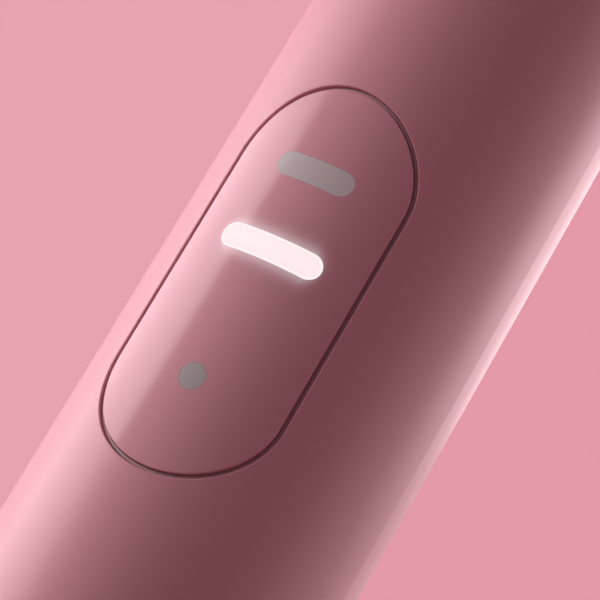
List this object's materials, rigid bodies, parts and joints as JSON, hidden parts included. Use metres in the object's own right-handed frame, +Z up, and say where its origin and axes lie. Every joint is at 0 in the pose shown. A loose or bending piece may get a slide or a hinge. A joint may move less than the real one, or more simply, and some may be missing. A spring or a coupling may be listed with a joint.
{
  "type": "electric toothbrush on charger",
  "caption": "Cylindrical electric toothbrush with a flush push panel and light windows, round oscillating head, standing on a round charging base.",
  "frame": {"origin": "centre of the charger's footprint, on the surface it stands on", "axes": "+Z up along the handle's axis; -Y is the front, where the push panel and the bristles face; +Y is the back, where the charger's inlet is; +X is to the right seen from the front"},
  "size_m": [0.062, 0.062, 0.2639],
  "materials": {
    "cover_white": "gloss",
    "base_white": "matte",
    "foot_rubber": "matte",
    "steel": "brushed",
    "board_green": "satin",
    "chip_black": "matte",
    "copper": "satin",
    "ferrite": "matte",
    "bobbin_white": "matte",
    "shell_pink": "satin",
    "cap_pink": "satin",
    "button_pink": "gloss",
    "window_grey": "gloss",
    "window_lit": "lit",
    "seal_grey": "matte",
    "seal_pink": "matte",
    "chassis_grey": "matte",
    "cell_blue": "satin",
    "lamp_white": "gloss",
    "magnet": "polished",
    "zinc": "satin",
    "bush_brass": "satin",
    "post_white": "satin",
    "ring_silver": "satin",
    "head_white": "satin",
    "head_ring_pink": "gloss",
    "rod_white": "satin",
    "nylon_white": "soft",
    "nylon_pink": "soft"
  },
  "bodies": {
    "charger": {"charger_cover": "cover_white", "charger_base": "base_white", "foot_ring": "foot_rubber", "charger_screws": "steel", "inlet_shell": "steel", "inlet_tongue": "chip_black", "charger_board": "board_green", "charger_chips": "chip_black", "coil_bobbin": "bobbin_white", "primary_coil": "copper", "ferrite_core": "ferrite"},
    "handle": {"handle_shell": "shell_pink", "end_cap": "cap_pink", "cap_seal": "seal_grey", "receiver_coil": "copper", "chassis": "chassis_grey", "battery_cell": "cell_blue", "battery_tabs": "zinc", "circuit_board": "board_green", "board_chips": "chip_black", "button_seal": "seal_pink", "tact_switch": "chip_black", "status_lamps": "lamp_white", "light_baffle": "bobbin_white", "drive_housing": "zinc", "drive_end_plate": "zinc", "upper_bush": "bush_brass", "lower_bush": "bush_brass", "stator_coil": "copper", "stator_poles": "steel", "lower_spring": "steel", "upper_spring": "steel", "mounting_post": "post_white", "shaft_seal": "seal_grey", "neck_ring": "ring_silver"},
    "button": {"control_button": "button_pink", "upper_bar_lens": "window_grey", "middle_bar_lens": "window_lit", "dot_lens": "window_grey", "switch_plunger": "chip_black"},
    "mover": {"drive_shaft": "steel", "mover_magnets": "magnet", "mover_core": "steel"},
    "brush_head": {"brush_stem": "head_white", "colour_ring": "head_ring_pink", "axle_pin": "steel"},
    "connecting_rod": {"connecting_rod": "rod_white"},
    "bristle_disc": {"bristle_disc": "head_white", "outer_tufts": "nylon_white", "middle_tufts": "nylon_pink", "inner_tufts": "nylon_white"}
  },
  "joints": [
    {"name": "handle_lift", "type": "slide", "parent": "charger", "child": "handle", "axis": [0, 0, 1], "range_m": [0, 0.03]},
    {"name": "button_press", "type": "slide", "parent": "handle", "child": "button", "axis": [0, 1, 0], "range_m": [0, 0.00035], "stiffness_N_per_m": 3000},
    {"name": "shaft_slide", "type": "slide", "parent": "handle", "child": "mover", "axis": [0, 0, 1], "range_m": [-0.0008, 0.0008], "stiffness_N_per_m": 4000, "deforming": ["lower_spring", "upper_spring"]},
    {"name": "head_pull", "type": "slide", "parent": "handle", "child": "brush_head", "axis": [0, 0, 1], "range_m": [0, 0.025]},
    {"name": "rod_slide", "type": "slide", "parent": "brush_head", "child": "connecting_rod", "axis": [0, 0, 1], "range_m": [-0.0008, 0.0008]},
    {"name": "head_oscillation", "type": "hinge", "parent": "brush_head", "child": "bristle_disc", "pos_m": [0, -0.0058, 0.2575], "axis": [0, -1, 0], "range_deg": [-19.5, 19.5]}
  ],
  "couplings": [
    {"joint": "rod_slide", "follows": "shaft_slide", "ratio": 1},
    {"joint": "head_oscillation", "follows": "shaft_slide", "rad_per_m": 424.5}
  ]
}
